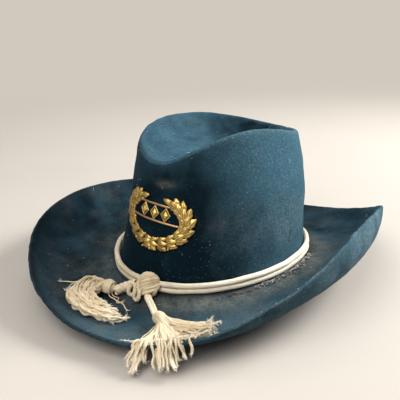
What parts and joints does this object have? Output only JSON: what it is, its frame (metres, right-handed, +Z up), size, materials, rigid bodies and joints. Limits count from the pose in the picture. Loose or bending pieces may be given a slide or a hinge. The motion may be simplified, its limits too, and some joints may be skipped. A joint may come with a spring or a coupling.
{
  "type": "cowboy hat",
  "caption": "Wool felt hat with a wide rolled brim, teardrop-dented crown, double cord band with slide knot and tassels, and a pinned brass wreath badge.",
  "frame": {"origin": "on the plane the brim rests on, under the centre of the head opening", "axes": "+Z up out of the crown; -Y is the front of the hat, where the badge and the knot are; +X is the wearer's left"},
  "size_m": [0.3355, 0.3829, 0.1501],
  "materials": {
    "felt": "wool felt, napped and dusty",
    "sweat_leather": "worn smooth leather",
    "reed": "satin reed",
    "thread": "waxed thread",
    "ribbon": "ribbed ribbon",
    "lining": "satin lining cloth",
    "cord": "smooth cotton cord",
    "fringe": "twisted cotton yarn with frayed ends",
    "badge_brass": "stamped and antiqued, dark in the recesses",
    "badge_copper": "stamped and antiqued, reddish",
    "post_brass": "drawn wire",
    "clutch_brass": "turned"
  },
  "bodies": {
    "hat": {"felt_body": "felt", "sweatband": "sweat_leather", "sweatband_reed": "reed", "sweatband_stitches": "thread", "sweatband_seam": "sweat_leather", "sweatband_bow": "ribbon", "lining_side": "lining", "lining_tip": "lining", "badge_wreath": "badge_brass", "badge_rails": "badge_copper", "badge_lozenges": "badge_brass", "badge_posts": "post_brass"},
    "cord_band": {"cord_upper": "cord", "cord_lower": "cord", "slide_knot": "cord", "knot_bights": "cord"},
    "leg_l": {"leg_left": "cord"},
    "head_l": {"head_left": "cord", "binding_left": "thread"},
    "fringe_l": {"fringe_left": "fringe"},
    "leg_r": {"leg_right": "cord"},
    "head_r": {"head_right": "cord", "binding_right": "thread"},
    "fringe_r": {"fringe_right": "fringe"},
    "clutch_l": {"clutch_left": "clutch_brass"},
    "clutch_r": {"clutch_right": "clutch_brass"}
  },
  "joints": [
    {"name": "cord_lift", "type": "slide", "parent": "hat", "child": "cord_band", "axis": [0, 0, 1], "range_m": [0, 0.012]},
    {"name": "leg_left_lift", "type": "hinge", "parent": "cord_band", "child": "leg_l", "pos_m": [-0.01294, -0.11122, 0.01957], "axis": [-0.6881, 0.7257, 0], "range_deg": [0, 40]},
    {"name": "head_left_swing", "type": "hinge", "parent": "leg_l", "child": "head_l", "pos_m": [-0.0231, -0.12085, 0.01571], "axis": [0, 0, 1], "range_deg": [0, 5]},
    {"name": "fringe_left_lift", "type": "hinge", "parent": "head_l", "child": "fringe_l", "pos_m": [-0.0354, -0.12211, 0.01686], "axis": [-0.9627, 0.2706, 0], "range_deg": [0, 35]},
    {"name": "leg_right_lift", "type": "hinge", "parent": "cord_band", "child": "leg_r", "pos_m": [0.0099, -0.11847, 0.01539], "axis": [-0.5816, -0.8134, 0], "range_deg": [0, 40]},
    {"name": "head_right_swing", "type": "hinge", "parent": "leg_r", "child": "head_r", "pos_m": [0.02857, -0.13182, 0.0118], "axis": [0, 0, 1], "range_deg": [-4, 0]},
    {"name": "fringe_right_lift", "type": "hinge", "parent": "head_r", "child": "fringe_r", "pos_m": [0.03913, -0.13694, 0.01163], "axis": [-0.7309, -0.6825, 0], "range_deg": [0, 45]},
    {"name": "clutch_left_pull", "type": "slide", "parent": "hat", "child": "clutch_l", "axis": [0.0034, 0.976, -0.2179], "range_m": [0, 0.01]},
    {"name": "clutch_right_pull", "type": "slide", "parent": "hat", "child": "clutch_r", "axis": [0.0034, 0.976, -0.2179], "range_m": [0, 0.01]}
  ]
}
